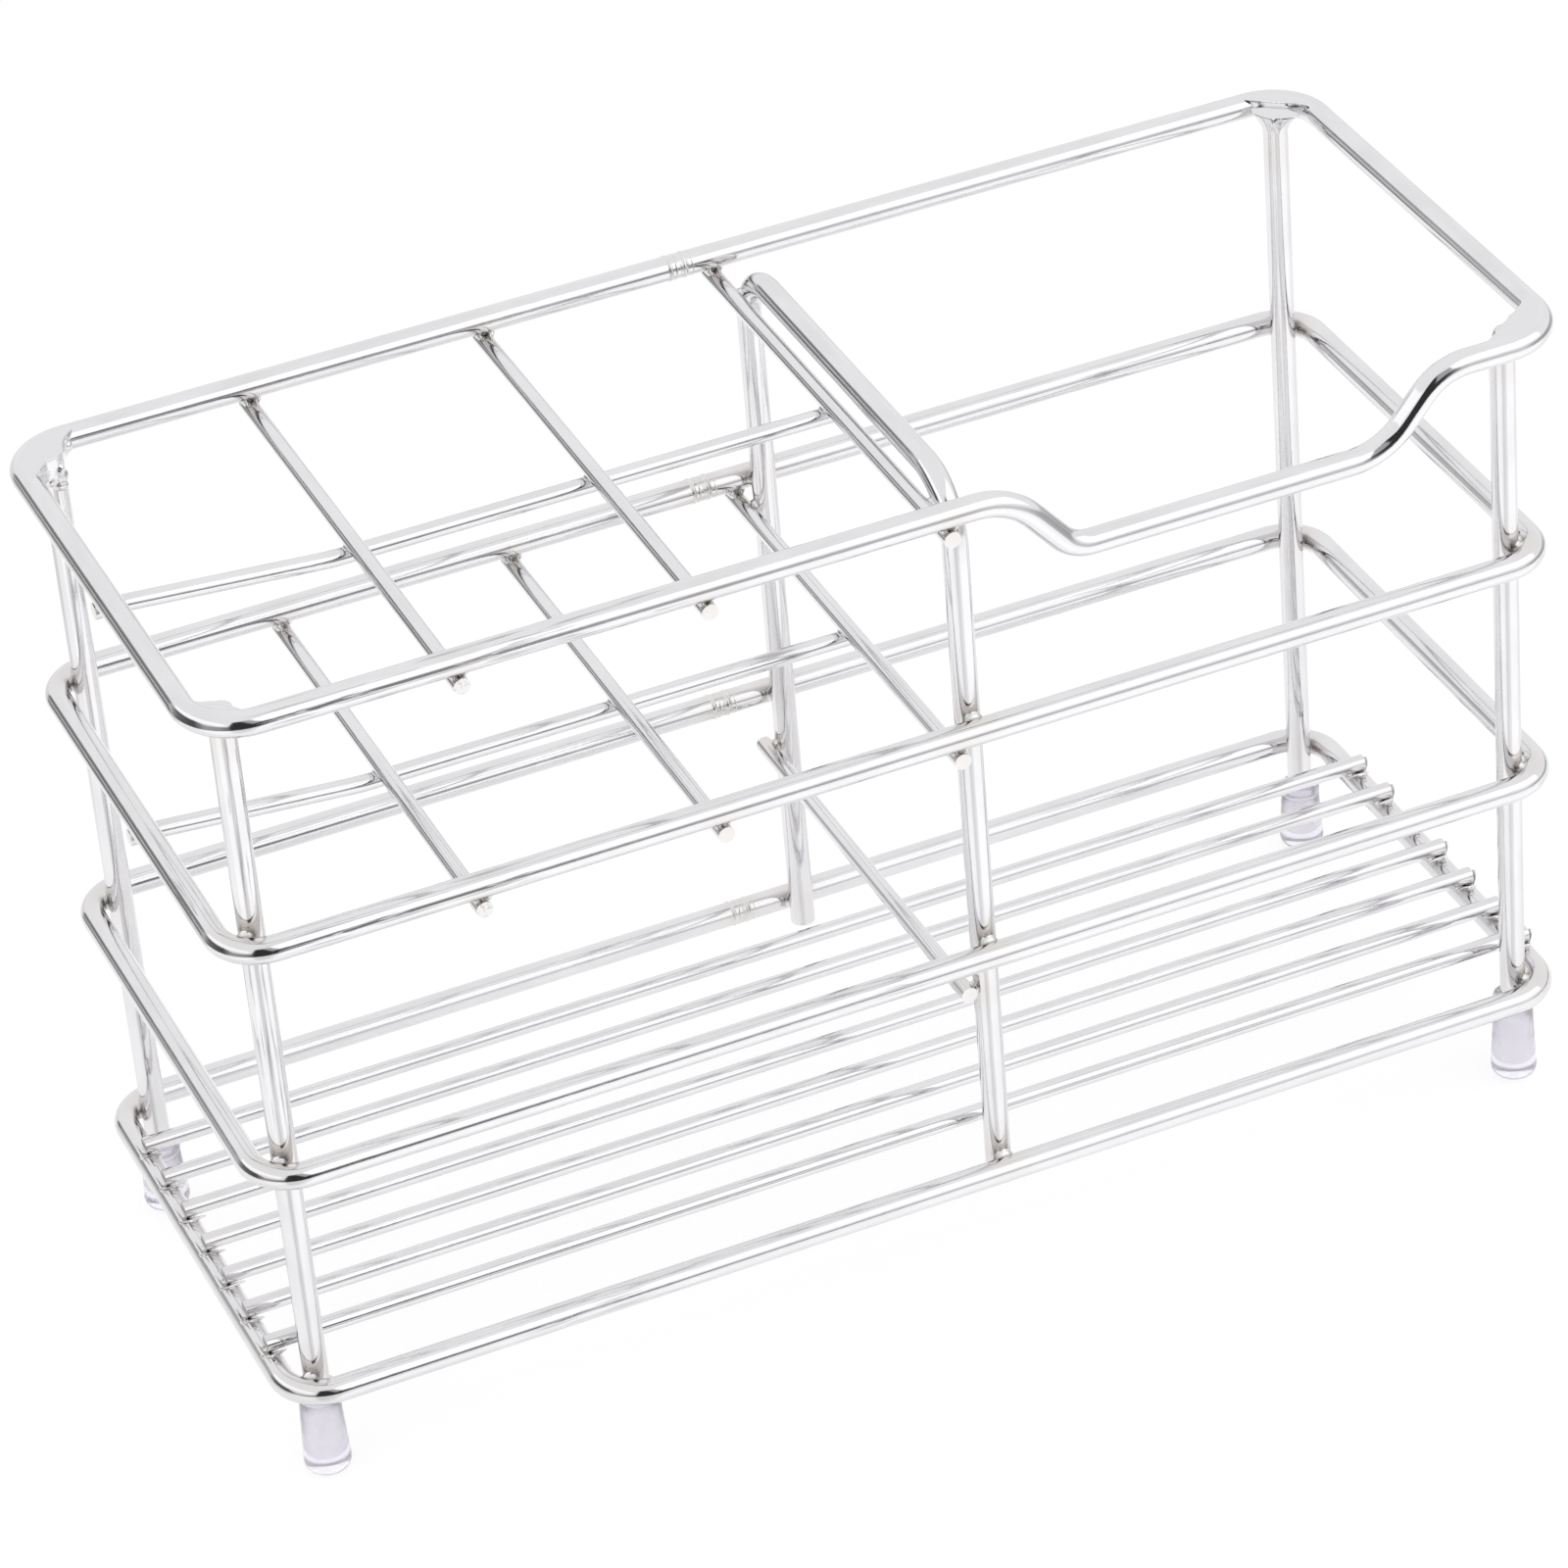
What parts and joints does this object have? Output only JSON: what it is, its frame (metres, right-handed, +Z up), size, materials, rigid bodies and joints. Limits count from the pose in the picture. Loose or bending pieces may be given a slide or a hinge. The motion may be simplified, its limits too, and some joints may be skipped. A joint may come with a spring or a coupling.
{
  "type": "toothbrush holder",
  "caption": "Welded stainless wire rack on clear feet, with brush slots at one end, a wide bay with a dipped front rim at the other, and a slatted floor.",
  "frame": {"origin": "under the middle of the rim, on the plane that the feet stand on", "axes": "+X along the length towards the wide bay, +Y from the dipped front to the back, +Z up"},
  "size_m": [0.205, 0.0854, 0.1321],
  "materials": {
    "heavy_wire": "polished bright stainless",
    "light_wire": "polished bright stainless",
    "clear_vinyl": "clear soft vinyl"
  },
  "bodies": {
    "root": {"top_rim": "heavy_wire", "upper_ring": "heavy_wire", "lower_ring": "heavy_wire", "base_ring": "heavy_wire", "post_front_left": "heavy_wire", "post_front_right": "heavy_wire", "post_back_left": "heavy_wire", "post_back_right": "heavy_wire", "divider_hoop": "heavy_wire", "rim_rest_1": "light_wire", "rim_rest_2": "light_wire", "rim_rest_3": "light_wire", "rim_long_rest": "light_wire", "upper_rest_1": "light_wire", "upper_rest_2": "light_wire", "upper_rest_3": "light_wire", "upper_long_rest": "light_wire", "lower_rest": "light_wire", "floor_slat_1": "light_wire", "floor_slat_2": "light_wire", "floor_slat_3": "light_wire", "floor_slat_4": "light_wire", "floor_slat_5": "light_wire", "floor_slat_6": "light_wire", "floor_slat_7": "light_wire", "foot_front_left": "clear_vinyl", "foot_front_right": "clear_vinyl", "foot_back_left": "clear_vinyl", "foot_back_right": "clear_vinyl"}
  },
  "joints": []
}
